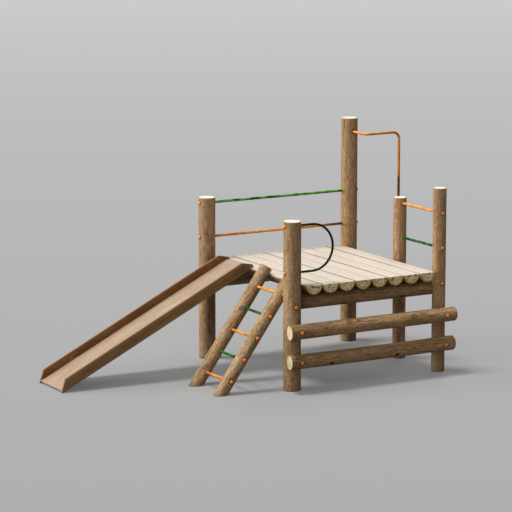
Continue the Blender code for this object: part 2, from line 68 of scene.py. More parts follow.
def addNode(tree, kind, values, stops=(), out=0):
    # One node. Each value is another node's output that is joined to a socket, a hex colour, or a plain
    # setting of a socket or property. Stops are a colour ramp's (place, hex) pairs. Returns the output
    # of number out.
    node = tree.nodes.new("ShaderNode" + kind)
    for key, value in values.items():
        if isinstance(value, bpy.types.NodeSocket):
            tree.links.new(value, node.inputs[key])
        elif isinstance(key, int) or key in node.inputs:
            node.inputs[key].default_value = linearColour(value) if isinstance(value, str) else value
        else:
            setattr(node, key, value)
    if stops:
        elements = node.color_ramp.elements
        for i in (0, -1):
            elements[i].position, elements[i].color = stops[i][0], linearColour(stops[i][1])
        for place, colour in stops[1:-1]:
            elements.new(place).color = linearColour(colour)
    return node.outputs[out] if node.outputs else node


def newMaterial(name):
    made = bpy.data.materials.new(name)
    made.use_nodes = True
    tree = made.node_tree
    tree.nodes.clear()
    return made, tree


def finishMaterial(made, relief, strength, depth, values):
    # the relief as a bump, and the shader with its own values and that bump
    tree = made.node_tree
    bump = addNode(tree, "Bump", {"Height": relief, "Strength": strength, "Distance": depth})
    shader = addNode(tree, "BsdfPrincipled", {**values, "Normal": bump})
    addNode(tree, "OutputMaterial", {"Surface": shader})
    return made


def millimetres(size):
    # the scale that makes a noise's features about this many millimetres wide
    return 1000.0 / size


def ringScale(size):
    # the same for growth rings: a wave texture of scale 1 repeats every 0.314 m
    return 0.314 * millimetres(size)


roundPine = {
    # machine-rounded pine, pressure treated and oiled, then weathered: tan where the light falls,
    # short torn fibres and mottling from the rounding knife, oval knots, a few drying checks, nearly matt
    "dark": "624026", "middle": "A98259", "light": "D8BA94", "contrast": 0.82, "weathered": "A8926C",
    "moss": "8E8448", "check": "4A3220", "knotHeart": "54564E", "knotRing": "7C7C70", "knotRim": "4A2F1A",
    "bore": "7A5A40", "dampAndShade": "33261A", "rough": (0.80, 0.58), "bump": 0.0016,
    # widths in millimetres, and how many times longer than wide the fibres are
    "streakWide": 15, "streakFine": 7, "ring": 17, "mottle": 24, "greyPatch": 110, "film": 13,
    "checkWide": 22, "knotWobble": 18, "stretch": 7,
}
# the logs that are climbed on and leaned on are rougher and redder than the posts
roughPine = dict(roundPine, dark="5A3A22", middle="A07C54", light="CCB18C", contrast=1.0, bump=0.0022)
# painted shade: the two climbing logs, in shade on their fronts, take a darker and warmer copy of the rough
# pine;
# the knots of the lower one have gone black, and its copy, also on the front beam, is darker still: painted
# deeper shade
shadedClimbPine = dict(roughPine, dark="5E3A26", middle="A07850", light="CCAA80")
blackKnotPine = dict(shadedClimbPine, dark="5A3824", middle="9C764E",
                     knotHeart="1E1A16", knotRing="302822", knotRim="2E1C12")


def makeRoundPine(name, look):
    made, tree = newMaterial(name)
    # the knot attribute holds the way to the nearest knot in knot radii, and the fitting attribute
    # the way to the nearest bore or flat spot in metres
    grain, knot, fitting, dampAndShade = (addNode(tree, "Attribute", {"attribute_name": key}, out=out)
                                  for key, out in (("grain", 1), ("knot", 1), ("fitting", 1), ("dampAndShade", 2)))
    # fibres, grey patches and drying checks are noise drawn out along the log
    fibre, patch, crack = (addNode(tree, "Mapping", {"Vector": grain, "Scale": (1, 1, squeeze)})
                           for squeeze in (1 / look["stretch"], 0.16, 0.060))
    wide, fine, mottle, grey, film, split, wobble = (
        addNode(tree, "TexNoise", {"Vector": place, "Scale": millimetres(look[width]), "Detail": detail,
                                   "Roughness": roughness, "Distortion": distortion})
        for place, width, detail, roughness, distortion in (
            (fibre, "streakWide", 5, 0.62, 0.3), (fibre, "streakFine", 4, 0.6, 0),
            (grain, "mottle", 3, 0.6, 0), (patch, "greyPatch", 3, 0.5, 0), (grain, "film", 2, 0.7, 0),
            (crack, "checkWide", 1, 0.5, 0), (grain, "knotWobble", 2, 0.5, 0)))
    # growth rings round a pith that wanders, which the rounding knife cuts into long flames
    rings = addNode(tree, "TexWave", {
        "Vector": fibre, "wave_type": "RINGS", "rings_direction": "Z", "wave_profile": "SAW",
        "Scale": ringScale(look["ring"]), "Distortion": 9, "Detail": 3, "Detail Scale": 0.5,
        "Detail Roughness": 0.55})
    # the four patterns have the mean 0.90, which becomes 0.51 whatever the contrast
    contrast = look["contrast"]
    tone = 0.51 - 0.90 * contrast
    for pattern, share in ((wide, 0.80), (fine, 0.60), (mottle, 0.50), (rings, -0.09)):
        tone = addNode(tree, "Math", {"operation": "MULTIPLY_ADD", 0: pattern, 1: share * contrast, 2: tone})
    colour = addNode(tree, "ValToRGB", {"Fac": tone},
                     ((0.24, look["dark"]), (0.50, look["middle"]), (0.78, look["light"])))
    far, reach = (addNode(tree, "VectorMath", {"operation": "LENGTH", 0: way}, out=1)
                  for way in (knot, fitting))
    far = addNode(tree, "Math", {"operation": "MULTIPLY_ADD", 0: wobble, 1: 0.5, 2: far})
    knotRings = addNode(tree, "Math", {"operation": "MULTIPLY", 0: far, 1: 22.0})
    knotRings = addNode(tree, "Math", {"operation": "SINE", 0: knotRings})
    greyPart, filmPart, check, heart, halo, ringPart, dirt, boreEdge, rough = (
        addNode(tree, "MapRange", {"Value": source, "From Min": low, "From Max": high, "To Min": before,
                                   "To Max": after, "interpolation_type": fade})
        for source, low, high, before, after, fade in (
            (grey, 0.52, 0.72, 0, 0.40, "LINEAR"),          # broad patches gone grey in the weather
            (film, 0.56, 0.68, 0, 0.45, "LINEAR"),          # yellow-green algae film in small spots
            (split, 0.255, 0.295, 1, 0, "LINEAR"),          # drying checks: the thin low ridges of a noise
            (far, 0.92, 1.22, 1, 0, "SMOOTHSTEP"),          # a knot's heart
            (far, 1.15, 1.9, 0.80, 0, "SMOOTHSTEP"),        # and the darker wood round it
            (knotRings, -1, 1, 0, 1, "LINEAR"),             # the heart's own rings
            # dirt and painted contact shade: a dark ring at the rim of each bore or flat spot, round its cap
            # or bar
            (reach, 0.018, 0.034, 0.75, 0, "SMOOTHSTEP"),   # dirt at the rim of a bore or flat spot
            (reach, 0.0190, 0.0215, -1.5, 0, "LINEAR"),     # which lies a little deeper
            (tone, 0.3, 0.7, *look["rough"], "LINEAR")))
    heartColour = addNode(tree, "ValToRGB", {"Fac": ringPart},
                          ((0.0, look["knotHeart"]), (1.0, look["knotRing"])))
    # damp at the feet, and painted shade: on the beams' tops under the deck, on the half logs' round sides,
    # and at the near ends of the beams and climbing logs
    uneven = addNode(tree, "Math", {"operation": "ADD", 0: mottle, 1: 0.45})
    dampAndShadePart = addNode(tree, "Math", {"operation": "MULTIPLY", "use_clamp": True, 0: dampAndShade, 1: uneven})
    for part, tint, blend in (
            (greyPart, look["weathered"], "MIX"), (filmPart, look["moss"], "MIX"),
            (check, look["check"], "MULTIPLY"), (halo, look["knotRim"], "MIX"), (heart, heartColour, "MIX"),
            (dirt, look["bore"], "MULTIPLY"), (dampAndShadePart, look["dampAndShade"], "MIX")):
        colour = addNode(tree, "Mix", {
            "data_type": "RGBA", "blend_type": blend, 0: part, 6: colour, 7: tint}, out=2)
    # relief: fibres stand a little, checks and the spots' rims go in
    relief = addNode(tree, "Math", {"operation": "MULTIPLY_ADD", 0: check, 1: -1.3, 2: tone})
    relief = addNode(tree, "Math", {"operation": "ADD", 0: relief, 1: boreEdge})
    return finishMaterial(made, relief, 0.8, look["bump"], {
        "Base Color": colour, "Roughness": rough, "IOR": 1.5, "Specular IOR Level": 0.35})


postEndGrain = {
    # a cross-cut end of the same pine: pale, with faint rings, short radial checks and a darker treated rim
    "pale": "FBF6EC", "ring": "E6D6BA", "rim": "CDB48C", "warmRim": "CDB48C", "check": "9A7B56",
    "rimFrom": 0.99, "rimWide": 0.07, "ringWidth": 9, "speck": 0.0,
}
# a climbed log's ends are browner, and those of the half logs show mould specks and greenish yellow sapwood
logEndGrain = dict(postEndGrain, pale="F6E8CC", ring="CFAE7C", rim="5A3C22", warmRim="5A3C22", check="6A4C30",
                   rimFrom=0.96, ringWidth=12)
halfLogEndGrain = dict(postEndGrain, pale="FFF6DC", ring="EACC8C", rim="CCB850", warmRim="D08A44",
                       check="5E4A2E", rimFrom=0.67, rimWide=0.25, ringWidth=14, speck=1.0)


def makeEndGrain(name, look):
    made, tree = newMaterial(name)
    # the rim attribute runs from 0 at the pith to 1 at the outline
    grain, rim = (addNode(tree, "Attribute", {"attribute_name": key}, out=out)
                  for key, out in (("grain", 1), ("rim", 2)))
    flat = addNode(tree, "Mapping", {"Vector": grain, "Scale": (1, 1, 0.1)})
    rings = addNode(tree, "TexWave", {
        "Vector": flat, "wave_type": "RINGS", "rings_direction": "Z", "wave_profile": "SIN",
        "Scale": ringScale(look["ringWidth"]), "Distortion": 2.4, "Detail": 3, "Detail Scale": 0.7})
    cloud, fuzz = (addNode(tree, "TexNoise", {"Vector": flat, "Scale": millimetres(width), "Detail": detail,
                                              "Roughness": 0.6}) for width, detail in ((40, 5), (19, 2)))
    tone = addNode(tree, "Math", {"operation": "MULTIPLY_ADD", 0: rings, 1: 0.45, 2: cloud})
    colour = addNode(tree, "ValToRGB", {"Fac": tone}, ((0.38, look["pale"]), (1.0, look["ring"])))
    # radial checks: noise on the direction from the pith, kept thin
    direction = addNode(tree, "VectorMath", {"operation": "MULTIPLY", 0: grain, 1: (1, 1, 0)})
    direction = addNode(tree, "VectorMath", {"operation": "NORMALIZE", 0: direction})
    rays = addNode(tree, "TexNoise", {"Vector": direction, "Scale": 7, "Detail": 1})
    border = addNode(tree, "Math", {"operation": "MULTIPLY_ADD", 0: cloud, 1: 0.12, 2: rim})
    specks, sapwood, check, treated, warm = (
        addNode(tree, "MapRange", {"Value": source, "From Min": low, "From Max": high, "To Min": before,
                                   "To Max": after, "interpolation_type": fade})
        for source, low, high, before, after, fade in (
            (fuzz, 0.55, 0.60, 0, look["speck"], "LINEAR"),     # saw fuzz and mould specks,
            (rim, 0.15, 0.35, 0, 1, "LINEAR"),                  # which keep away from the pith
            (rays, 0.30, 0.345, 0.8, 0, "LINEAR"),
            (border, look["rimFrom"], look["rimFrom"] + look["rimWide"], 0, 0.85, "SMOOTHSTEP"),
            (cloud, 0.52, 0.62, 0, 1, "LINEAR")))               # the treated rim is browner in patches
    specks = addNode(tree, "Math", {"operation": "MULTIPLY", 0: specks, 1: sapwood})
    rimColour = addNode(tree, "Mix", {
        "data_type": "RGBA", 0: warm, 6: look["rim"], 7: look["warmRim"]}, out=2)
    for part, tint, blend in ((specks, "3E2C14", "MULTIPLY"), (check, look["check"], "MIX"),
                              (treated, rimColour, "MIX")):
        colour = addNode(tree, "Mix", {
            "data_type": "RGBA", "blend_type": blend, 0: part, 6: colour, 7: tint}, out=2)
    relief = addNode(tree, "Math", {"operation": "MULTIPLY_ADD", 0: check, 1: -1.0, 2: fuzz})
    return finishMaterial(made, relief, 0.6, 0.0010, {
        "Base Color": colour, "Roughness": 0.85, "IOR": 1.5, "Specular IOR Level": 0.3})


planedDeckPine = {
    # sawn and planed pine, bleached by sun and shoes: cream, with faint lines along the board
    # and small grey marks
    "dark": "C2B39E", "middle": "D2C6B7", "light": "E2D7CA", "stain": "C39A66", "edge": "4E3A26",
    "fleck": "A88C6A", "fleckPart": 0.35, "fleckSize": 8, "fleckStretch": 6.25,
    "ring": 12, "stretch": 40, "pithDepth": 0.0, "edgeFrom": 0.10, "rough": (0.75, 0.55),
}
stainedCheekBoard = {
    # pine board brushed with a dark brown stain: low contrast grain with reddish flecks, satin
    "dark": "5E3C1C", "middle": "7A5329", "light": "8E6936", "stain": "86623C", "edge": "846444",
    "fleck": "B05C1E", "fleckPart": 1.0, "fleckSize": 16, "fleckStretch": 2.5,
    "ring": 14, "stretch": 3, "pithDepth": 0.12, "edgeFrom": 0.25, "rough": (0.65, 0.45),
}
# painted light: the near cheek's outer face takes a paler copy of the stained board, for the light the floor
# throws up onto it
paintedLightCheekBoard = dict(stainedCheekBoard, dark="78583A", middle="927048", light="A88460", fleckPart=0.85)
varnishedBedBoard = {
    # sliding board rubbed and varnished: pinkish tan with fine flecks, smoother than the rest,
    # so it shines along its length
    "dark": "96806A", "middle": "AA927A", "light": "BDA892", "stain": "D8C4A0", "edge": "8A6A4C",
    "fleck": "7E5E42", "fleckPart": 0.95, "fleckSize": 8, "fleckStretch": 2.0,
    "ring": 16, "stretch": 3, "pithDepth": 0.16, "edgeFrom": 0.25, "rough": (0.46, 0.30),
}


def makeBoard(name, look):
    made, tree = newMaterial(name)
    # the stain attribute marks tannin and rain water run down from the posts, and the rim attribute
    # the arrises
    grain, stain, rim = (addNode(tree, "Attribute", {"attribute_name": key}, out=out)
                         for key, out in (("grain", 1), ("stain", 2), ("rim", 2)))
    fibre = addNode(tree, "Mapping", {"Vector": grain, "Location": (0, look["pithDepth"], 0),
                                      "Scale": (1, 1, 1 / look["stretch"])})
    fleckPlace = addNode(tree, "Mapping", {"Vector": grain, "Scale": (1, 1, 1 / look["fleckStretch"])})
    # rings about a pith that lies pithDepth under the face, so the face shows long flames
    rings = addNode(tree, "TexWave", {
        "Vector": fibre, "wave_type": "RINGS", "rings_direction": "Z", "wave_profile": "SAW",
        "Scale": ringScale(look["ring"]), "Distortion": 4, "Detail": 3, "Detail Scale": 0.4,
        "Detail Roughness": 0.5})
    streak, broad, speck = (
        addNode(tree, "TexNoise", {"Vector": place, "Scale": millimetres(width), "Detail": detail,
                                   "Roughness": roughness})
        for place, width, detail, roughness in ((fibre, 9, 5, 0.6), (fibre, 90, 2, 0.5),
                                                (fleckPlace, look["fleckSize"], 2, 0.5)))
    tone = 0.10
    for pattern, share in ((rings, -0.22), (streak, 0.60), (broad, 0.40)):
        tone = addNode(tree, "Math", {"operation": "MULTIPLY_ADD", 0: pattern, 1: share, 2: tone})
    colour = addNode(tree, "ValToRGB", {"Fac": tone},
                     ((0.28, look["dark"]), (0.50, look["middle"]), (0.72, look["light"])))
    broken = addNode(tree, "Math", {"operation": "MULTIPLY", 0: streak, 1: 1.8})
    stainPart = addNode(tree, "Math", {"operation": "MULTIPLY", "use_clamp": True, 0: stain, 1: broken})
    worn = addNode(tree, "Math", {"operation": "MULTIPLY", 0: rim, 1: streak})
    fleck, wear, rough = (
        addNode(tree, "MapRange", {"Value": source, "From Min": low, "From Max": high, "To Min": before,
                                   "To Max": after})
        for source, low, high, before, after in (
            (speck, 0.62, 0.72, 0, look["fleckPart"]),          # pores, scuffs and dirt caught in the grain
            (worn, look["edgeFrom"], look["edgeFrom"] + 0.25, 0, 0.9),
            (tone, 0.3, 0.7, *look["rough"])))
    for part, tint in ((fleck, look["fleck"]), (stainPart, look["stain"]), (wear, look["edge"])):
        colour = addNode(tree, "Mix", {"data_type": "RGBA", 0: part, 6: colour, 7: tint}, out=2)
    return finishMaterial(made, tone, 0.6, 0.0008, {
        "Base Color": colour, "Roughness": rough, "IOR": 1.5, "Specular IOR Level": 0.4})


orangeCoat = {
    # powder-coated steel bar: an even thick film with a slight orange-peel ripple, rubbed smoother
    # where hands and feet go; its painted shade colour darkens the undersides and the lengths where a post's
    # shadow falls
    # the worn colour, in pale patches along the bar, is rubbed paint and also painted highlight
    "base": "DE7806", "worn": "FFB048", "paintedShade": "5A2408", "under": 0.75,
    "patch": 45, "rough": (0.34, 0.20), "gloss": 0.16,
}
greenCoat = {"base": "0C3406", "worn": "388A22", "paintedShade": "081C06", "under": 0.75,
             "patch": 34, "rough": (0.40, 0.22), "gloss": 0.12}
# the upper back rail takes a brighter green copy with pale patches: painted highlight and glints
glintGreenCoat = dict(greenCoat, base="0E3A08", worn="74C844", patch=48)
darkGreenCoat = {"base": "0A2408", "worn": "143A10", "paintedShade": "061204", "under": 0.30,
                 "patch": 40, "rough": (0.42, 0.30), "gloss": 0.10}


def makePowderCoat(name, look):
    made, tree = newMaterial(name)
    # the painted shade attribute marks painted shadow, cast by a post on the pole and the lower back rail,
    # and painted shade on the bars' undersides
    grain, paintedShade = (addNode(tree, "Attribute", {"attribute_name": key}, out=out)
                    for key, out in (("grain", 1), ("paintedShade", 2)))
    lengthwise = addNode(tree, "Mapping", {"Vector": grain, "Scale": (1, 1, 0.4)})
    rubbedAndGlint = addNode(tree, "TexNoise", {"Vector": lengthwise, "Scale": millimetres(look["patch"]),
                                         "Detail": 4, "Roughness": 0.65})
    worn, rough = (
        addNode(tree, "MapRange", {"Value": rubbedAndGlint, "From Min": low, "From Max": high, "To Min": before,
                                   "To Max": after})
        for low, high, before, after in ((0.44, 0.58, 0, 0.85), (0.35, 0.65, *look["rough"])))
    # pale patches: rubbed paint and painted highlight; then the painted shade
    colour = look["base"]
    for part, tint in ((worn, look["worn"]), (paintedShade, look["paintedShade"])):
        colour = addNode(tree, "Mix", {"data_type": "RGBA", 0: part, 6: colour, 7: tint}, out=2)
    # orange peel is about 1 mm across; it is drawn at 3 mm to show at all
    peel = addNode(tree, "TexNoise", {"Vector": grain, "Scale": millimetres(3), "Detail": 1})
    return finishMaterial(made, peel, 0.25, 0.0003, {
        "Base Color": colour, "Roughness": rough, "IOR": 1.45, "Specular IOR Level": look["gloss"]})


mouldedCap = {
    # injection moulded nylon cap: glossy, evenly coloured, a little chalky where the sun has been at it
    "base": "F58A22", "chalk": "FFA54A", "rough": (0.22, 0.38),
}


def makeMouldedCap(name, look):
    made, tree = newMaterial(name)
    place = addNode(tree, "TexCoord", {}, out=3)
    cloud, pores = (
        addNode(tree, "TexNoise", {"Vector": place, "Scale": millimetres(width), "Detail": detail})
        for width, detail in ((12, 3), (1.5, 1)))
    chalky, rough = (
        addNode(tree, "MapRange", {"Value": cloud, "From Min": low, "From Max": high, "To Min": before,
                                   "To Max": after})
        for low, high, before, after in ((0.45, 0.75, 0, 0.6), (0.3, 0.7, *look["rough"])))
    colour = addNode(tree, "Mix", {"data_type": "RGBA", 0: chalky, 6: look["base"], 7: look["chalk"]}, out=2)
    return finishMaterial(made, pores, 0.15, 0.0002, {"Base Color": colour, "Roughness": rough, "IOR": 1.53})


pine = makeRoundPine("treatedRoundPine", roundPine)
logPine = makeRoundPine("treatedLogPine", roughPine)
climbPine = makeRoundPine("shadedClimbingLogPine", shadedClimbPine)
lowClimbPine = makeRoundPine("blackKnottedClimbingLogPine", blackKnotPine)
sawnTop = makeEndGrain("crossCutPostTop", postEndGrain)
sawnLogEnd = makeEndGrain("crossCutLogEnd", logEndGrain)
sawnHalfEnd = makeEndGrain("crossCutHalfLog", halfLogEndGrain)
deckPine = makeBoard("planedDeckPine", planedDeckPine)
cheekBoard = makeBoard("stainedCheekBoard", stainedCheekBoard)
nearCheekBoard = makeBoard("paintedLightCheekBoard", paintedLightCheekBoard)
bedBoard = makeBoard("varnishedBedBoard", varnishedBedBoard)
orangeSteel, greenSteel, glintGreenSteel, darkGreenSteel = (
    (makePowderCoat(name + "PowderCoat", look), look)
    for name, look in (("orange", orangeCoat), ("green", greenCoat), ("glintGreen", glintGreenCoat),
                       ("darkGreen", darkGreenCoat)))
capPlastic = makeMouldedCap("mouldedNylonCap", mouldedCap)
print("materials made")


def skin(grid):
    # Quads between neighbouring rows of a grid of closed loops, and a fan from the middle of its first
    # and its last row. Returns the points, the quads and the triangles.
    rows, columns = grid.shape[:2]
    points = np.vstack((grid.reshape(-1, 3), grid[0].mean(axis=0), grid[-1].mean(axis=0)))
    column = np.arange(columns)
    ahead = (column + 1) % columns
    row = np.arange(rows - 1)[:, None] * columns
    quads = np.stack((row + column, row + ahead, row + columns + ahead, row + columns + column), axis=-1)
    top, middle = (rows - 1) * columns, np.full(columns, rows * columns)
    fans = np.vstack((np.stack((ahead, column, middle), axis=-1),
                      np.stack((top + column, top + ahead, middle + 1), axis=-1)))
    return points, quads.reshape(-1, 4), fans


def makePiece(name, node, grid, materials, endRows=0, columnSlot=0, attributes=(), smooth=40):
    # Puts one closed surface into a mesh. The quads take the first material or their column's, and the fans
    # and as many rows as endRows says at each end show the second one, the cut end grain.
    points, quads, fans = skin(grid)
    points = points + np.array(site["origin"])
    first, second, third = points[np.vstack((quads[:, :3], quads[:, (0, 2, 3)], fans))].transpose(1, 0, 2)
    if (first * np.cross(second, third)).sum() < 0:         # the volume is negative, so faces point inwards
        quads, fans = quads[:, ::-1], fans[:, ::-1]
    mesh = bpy.data.meshes.new(name)
    mesh.vertices.add(len(points))
    mesh.vertices.foreach_set("co", points.astype(np.float32).ravel())
    mesh.loops.add(quads.size + fans.size)
    mesh.loops.foreach_set("vertex_index", np.concatenate((quads.ravel(), fans.ravel())).astype(np.int32))
    sizes = np.concatenate((np.full(len(quads), 4), np.full(len(fans), 3)))
    mesh.polygons.add(len(sizes))
    mesh.polygons.foreach_set("loop_start", (np.cumsum(sizes) - sizes).astype(np.int32))
    rows, columns = grid.shape[:2]
    slots = np.full((rows + 1, columns), columnSlot, dtype=np.int32)
    if len(materials) > 1:
        slots[:endRows] = slots[rows - 1 - endRows:] = 1
    mesh.polygons.foreach_set("material_index", slots.ravel())
    for made in materials:
        mesh.materials.append(made)
    mesh.update(calc_edges=True)
    mesh.validate()
    for label, values in dict(attributes).items():
        ends = np.stack((values[0].mean(axis=0), values[-1].mean(axis=0)))
        whole = np.concatenate((values.reshape(rows * columns, *values.shape[2:]), ends)).astype(np.float32)
        isVector = whole.ndim > 1
        layer = mesh.attributes.new(label, "FLOAT_VECTOR" if isVector else "FLOAT", "POINT")
        layer.data.foreach_set("vector" if isVector else "value", whole.ravel())
    mesh.shade_smooth()
    mesh.set_sharp_from_angle(angle=math.radians(smooth))
    piece = bpy.data.objects.new(name, mesh)
    bpy.context.scene.collection.objects.link(piece)
    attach(piece, "root")
    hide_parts(node)
    return piece


def unit(vector):
    vector = np.asarray(vector, dtype=float)
    return vector / np.linalg.norm(vector)


def across(axis):
    # two directions square to an axis: a level one, and the one square to both
    isSideways = abs(axis[1]) > 0.9 or abs(axis[2]) > 0.99
    side = np.eye(3)[0 if isSideways else 1]
    return side, np.cross(axis, side)


capShape = {"radius": 0.0185, "height": 0.014, "skirt": 0.0026, "columns": 40}


def domedCap(name, node, seat, outward, top=capShape["height"]):
    # A profile turned about the bolt's line. Height(r) is a short skirt and then a quarter ellipse:
    # r = radius * cos t, height = skirt + (top - skirt) * sin t for t from 0 to a quarter turn.
    seat, outward = np.array(seat), unit(outward)
    fittings.append(seat)
    side, up = across(outward)
    t = np.linspace(0, np.pi / 2, 12)[:-1]
    radius = np.concatenate(((0.4, 0.85, 0.96), np.cos(t), (0.05,))) * capShape["radius"]
    height = np.concatenate(((0.0, 0.0, 0.0006), capShape["skirt"] + (top - capShape["skirt"]) * np.sin(t),
                             (top,)))
    u = np.linspace(0, 2 * np.pi, capShape["columns"], endpoint=False)
    ring = np.cos(u)[:, None] * side + np.sin(u)[:, None] * up
    grid = seat + radius[:, None, None] * ring + (height[:, None, None] + gap) * outward
    return makePiece(name, node, grid, [capPlastic])


def bentRoute(corners, bends=(), step=0.02):
    # Straight runs between the corners and a quarter circle at each inner corner: every arc point is
    # centre - ahead * bend * cos t - behind * bend * sin t.
    corners = np.array(corners, dtype=float)
    route = [corners[:1]]
    t = np.linspace(0, np.pi / 2, 21)[:, None]
    for before, corner, after, bend in zip(corners, corners[1:], corners[2:], bends):
        behind, ahead = unit(before - corner), unit(after - corner)
        route.append(corner + (behind + ahead) * bend - ahead * bend * np.cos(t) - behind * bend * np.sin(t))
    route = np.vstack((*route, corners[-1:]))
    apart = np.linalg.norm(np.diff(route, axis=0), axis=1)
    route = route[np.concatenate(((True,), apart > 1e-6))]
    pieces = []
    for low, high in zip(route[:-1], route[1:]):
        count = max(1, int(round(np.linalg.norm(high - low) / step)))
        pieces.append(low + (high - low) * np.linspace(0, 1, count, endpoint=False)[:, None])
    return np.vstack((*pieces, route[-1:]))


bar = {"columns": 28, "endShare": 0.9, "tipShare": 0.08}    # the shares are of the radius, in the end rows


def carriedBar(name, node, route, radius, coat, head=False, paintedShade=(2, -2.0, -1.0)):
    # A circle carried along a route. Each row's frame is the last one turned by the least angle that
    # brings its tangent round: side = side - tangent * (side . tangent), then made a unit again.
    made, look = coat
    tangent = np.gradient(route, axis=0)
    tangent /= np.linalg.norm(tangent, axis=1)[:, None]
    side = np.empty_like(route)
    last = across(tangent[0])[0]
    for i in range(len(route)):
        side[i] = last = unit(last - tangent[i] * last.dot(tangent[i]))
    up = np.cross(tangent, side)
    u = np.linspace(0, 2 * np.pi, bar["columns"], endpoint=False)
    ring = np.cos(u)[None, :, None] * side[:, None] + np.sin(u)[None, :, None] * up[:, None]
    length = np.concatenate(((0.0,), np.cumsum(np.linalg.norm(np.diff(route, axis=0), axis=1))))
    body = route[:, None] + radius * ring
    start, end = ((route[i] + bar["endShare"] * radius * ring[i])[None] for i in (0, -1))
    if head:
        # a domed head as on a peened bar: a quarter ellipse as high as a cap
        t = np.linspace(np.pi / 2, 0, 9)[-2::-1, None, None]
        wide = np.cos(t) * capShape["radius"] / radius
        wide[-1] = bar["tipShare"]
        dome = route[-1] + wide * radius * ring[-1] + (np.sin(t) * capShape["height"] + gap) * tangent[-1]
        end = np.vstack((body[-1:], dome))
    grid = np.vstack((start, body, end))
    grain = np.empty(grid.shape)
    grain[..., 0] = radius * np.cos(u)
    grain[..., 1] = radius * np.sin(u)
    along = np.concatenate(((0.0,), length, np.full(len(end), length[-1])))
    grain[..., 2] = along[:, None] + rng.uniform(0, 40)
    # painted shadow lies between two places along one axis, with a crisp far edge and a faded near one
    axis, low, high = paintedShade
    place = grid[..., axis]
    dirt = 0.9 * np.clip((high - place) / 0.02, 0, 1) * np.clip((place - low) / 0.15, 0, 1)
    # and painted shade on the underside, darker downwards
    under = np.clip((route[:, None, 2] - body[..., 2]) / radius - 0.15, 0, 0.6) / 0.6 * look["under"]
    # the dirt mask here is all painted shadow and painted shade
    dirt = np.maximum(dirt, np.vstack((under[:1], under, np.repeat(under[-1:], len(end), axis=0))))
    return makePiece(name, node, grid, [made], attributes={"grain": grain, "paintedShade": dirt})


# from a log's middle to the flat spot that a cap sits on
seatDepth = {"post": 0.0772, "slimPost": 0.0590, "log": 0.0638, "stringer": 0.0564}
rungs = {"first": 0.149, "pitch": 0.231915, "radius": 0.0125, "count": 5}
ladderAxis = np.array(site["ladderAxis"])
ladderFoot = np.array((site["ladderFootX"], 0.0, 0.0))
nearStringer, farStringer = site["stringerY"]
for number in range(rungs["count"]):
    middle = ladderFoot + ladderAxis * (rungs["first"] + number * rungs["pitch"])
    start = middle + (0.0, nearStringer - seatDepth["stringer"], 0.0)
    end = middle + (0.0, farStringer + seatDepth["stringer"], 0.0)
    isOrange = number % 2 == 0
    label = str(number + 1)
    carriedBar("rungBar" + label, "ladder_rung_" + label,
               bentRoute((start, end)), rungs["radius"], orangeSteel if isOrange else greenSteel, head=True)
    domedCap("rungCap" + label, "rung_cap_" + label, start, (0, -1, 0))
    fittings.append(end)

rails = {
    "radius": 0.0126, "heights": {"lower": 1.185, "upper": 1.514},
    # painted shadow: the lower back rail darkens towards the back right post, as if in its shadow
    "paintedShade": {"lower": (0, right - 0.36, right + 1), "upper": (0, -2.0, -1.0)},     # axis, from, to
    "tallCap": 0.026,                   # over the nuts at the back rails' right ends
}
for height, z in rails["heights"].items():
    isUpper = height == "upper"
    label = height.capitalize()
    ends = ((-seatDepth["post"], back, z), (right + seatDepth["post"], back, z))
    carriedBar("backRail" + label, "rail_back_" + height,
               bentRoute(ends), rails["radius"], glintGreenSteel if isUpper else orangeSteel,
               paintedShade=rails["paintedShade"][height])
    domedCap("railCapBackLeft" + label, "rail_cap_back_left_" + height, ends[0], (-1, 0, 0))
    domedCap("railCapBackRight" + label, "rail_cap_back_right_" + height, ends[1], (1, 0, 0),
             rails["tallCap"])
    ends = ((right, -seatDepth["slimPost"], z), (right, site["middlePostY"] + seatDepth["slimPost"], z))
    carriedBar("sideRail" + label, "rail_side_" + height,
               bentRoute(ends), rails["radius"], orangeSteel if isUpper else greenSteel)
    domedCap("railCapSideFront" + label, "rail_cap_side_front_" + height, ends[0], (0, -1, 0))
    domedCap("railCapSideBack" + label, "rail_cap_side_back_" + height, ends[1], (0, 1, 0))

handle = {"lower": 1.091, "upper": 1.523, "reach": 0.430, "radius": 0.0110}
bend = (handle["upper"] - handle["lower"]) / 2
handleStart = -seatDepth["post"] + gap
route = bentRoute([(x, 0, handle[height]) for x, height in (
    (handleStart, "upper"), (handle["reach"], "upper"), (handle["reach"], "lower"), (handleStart, "lower"))],
    (bend, bend))
carriedBar("grabHandle", "grab_handle", route, handle["radius"], darkGreenSteel)
for height in ("upper", "lower"):
    domedCap("handleCap" + height.capitalize(), "handle_cap_" + height,
             (-seatDepth["post"], 0, handle[height]), (-1, 0, 0))
    fittings.append(np.array((0.08, 0, handle[height])))

# painted shadow: the pole darkens from 1.675 m down, where the back right post's shadow falls
pole = {"x": 1.9854, "y": 1.300, "z": 2.098, "radius": 0.0126, "elbow": 0.035, "bend": 0.070,
        "paintedShade": (2, 1.36, 1.675)}
route = bentRoute(((right, back + seatDepth["post"] - gap, pole["z"]), (right, pole["y"], pole["z"]),
                   (pole["x"], pole["y"], pole["z"]), (pole["x"], pole["y"], 0.0)),
                  (pole["elbow"], pole["bend"]))
carriedBar("firemansPole", "fire_pole", route, pole["radius"], orangeSteel,
           paintedShade=pole["paintedShade"])
domedCap("poleCap", "pole_cap", (right, back + seatDepth["post"], pole["z"]), (0, 1, 0))
fittings.append(np.array((right, back - 0.08, pole["z"])))

